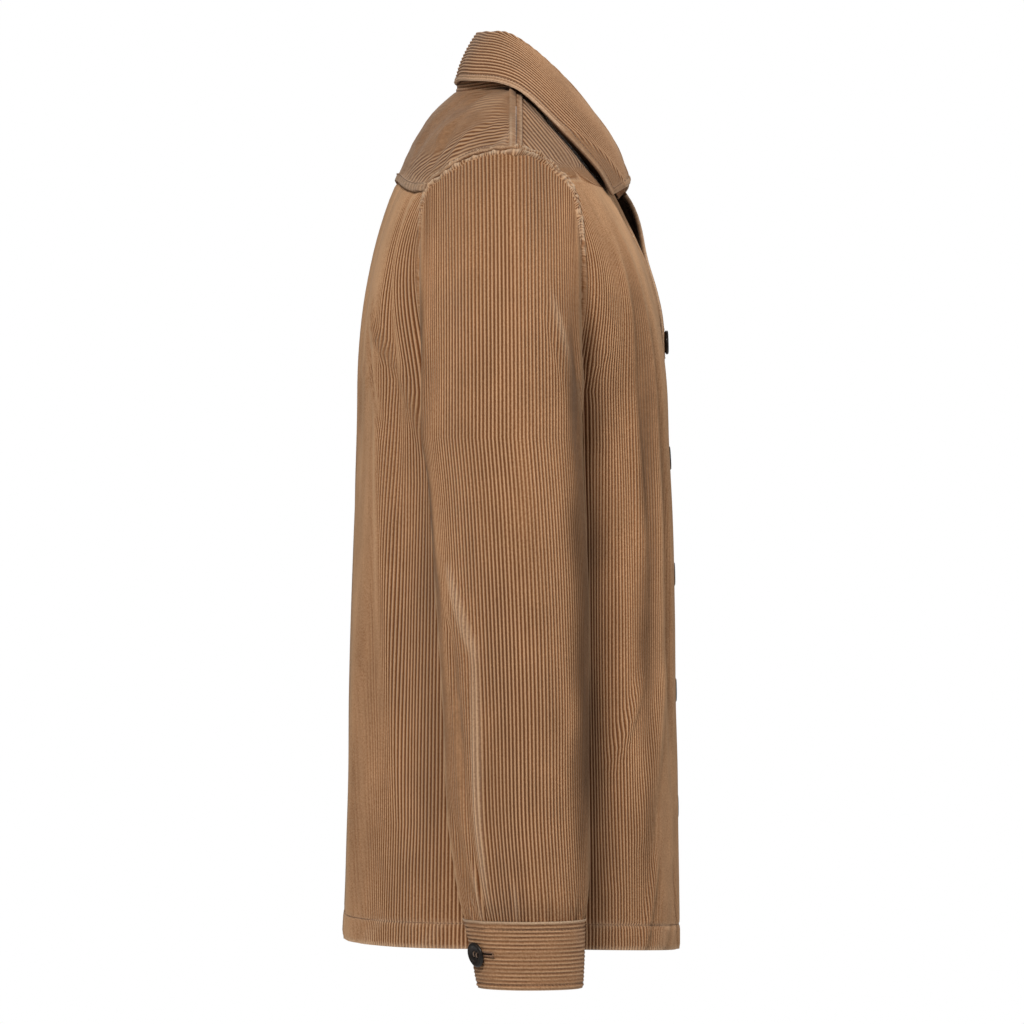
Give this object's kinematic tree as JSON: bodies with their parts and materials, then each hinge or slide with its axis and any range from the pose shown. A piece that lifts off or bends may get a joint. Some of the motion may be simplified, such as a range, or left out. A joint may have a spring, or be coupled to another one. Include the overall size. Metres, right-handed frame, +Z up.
{
  "type": "corduroy jacket",
  "caption": "Corduroy overshirt jacket in its worn, hollow form, with a shirt collar, buttoned front, yoke, and long sleeves gathered into buttoned cuffs.",
  "frame": {"origin": "inside the neck, on the centre plane, level with the neck ends of the shoulder seams, where the wearer's neck holds the jacket", "axes": "+Z up along the standing wearer, -Y the way the wearer faces, -X towards the wearer's right sleeve"},
  "size_m": [0.6736, 0.2747, 0.7622],
  "materials": {
    "corduroy": "matt ribbed cotton pile, tan brown",
    "collar": "matt ribbed cotton pile, tan brown, paler where rubbed",
    "button": "satin black plastic"
  },
  "bodies": {
    "root": {"back_panel": "corduroy", "yoke": "corduroy", "front_right": "corduroy", "front_left": "corduroy", "button_band_right": "corduroy", "placket_left": "corduroy", "collar_leaf": "collar", "collar_stand": "collar", "sleeve_right": "corduroy", "sleeve_left": "corduroy", "cuff_right": "corduroy", "cuff_left": "corduroy", "button_front_1": "button", "button_front_2": "button", "button_front_3": "button", "button_front_4": "button", "button_front_5": "button", "button_cuff_right": "button", "button_cuff_left": "button"}
  },
  "joints": []
}
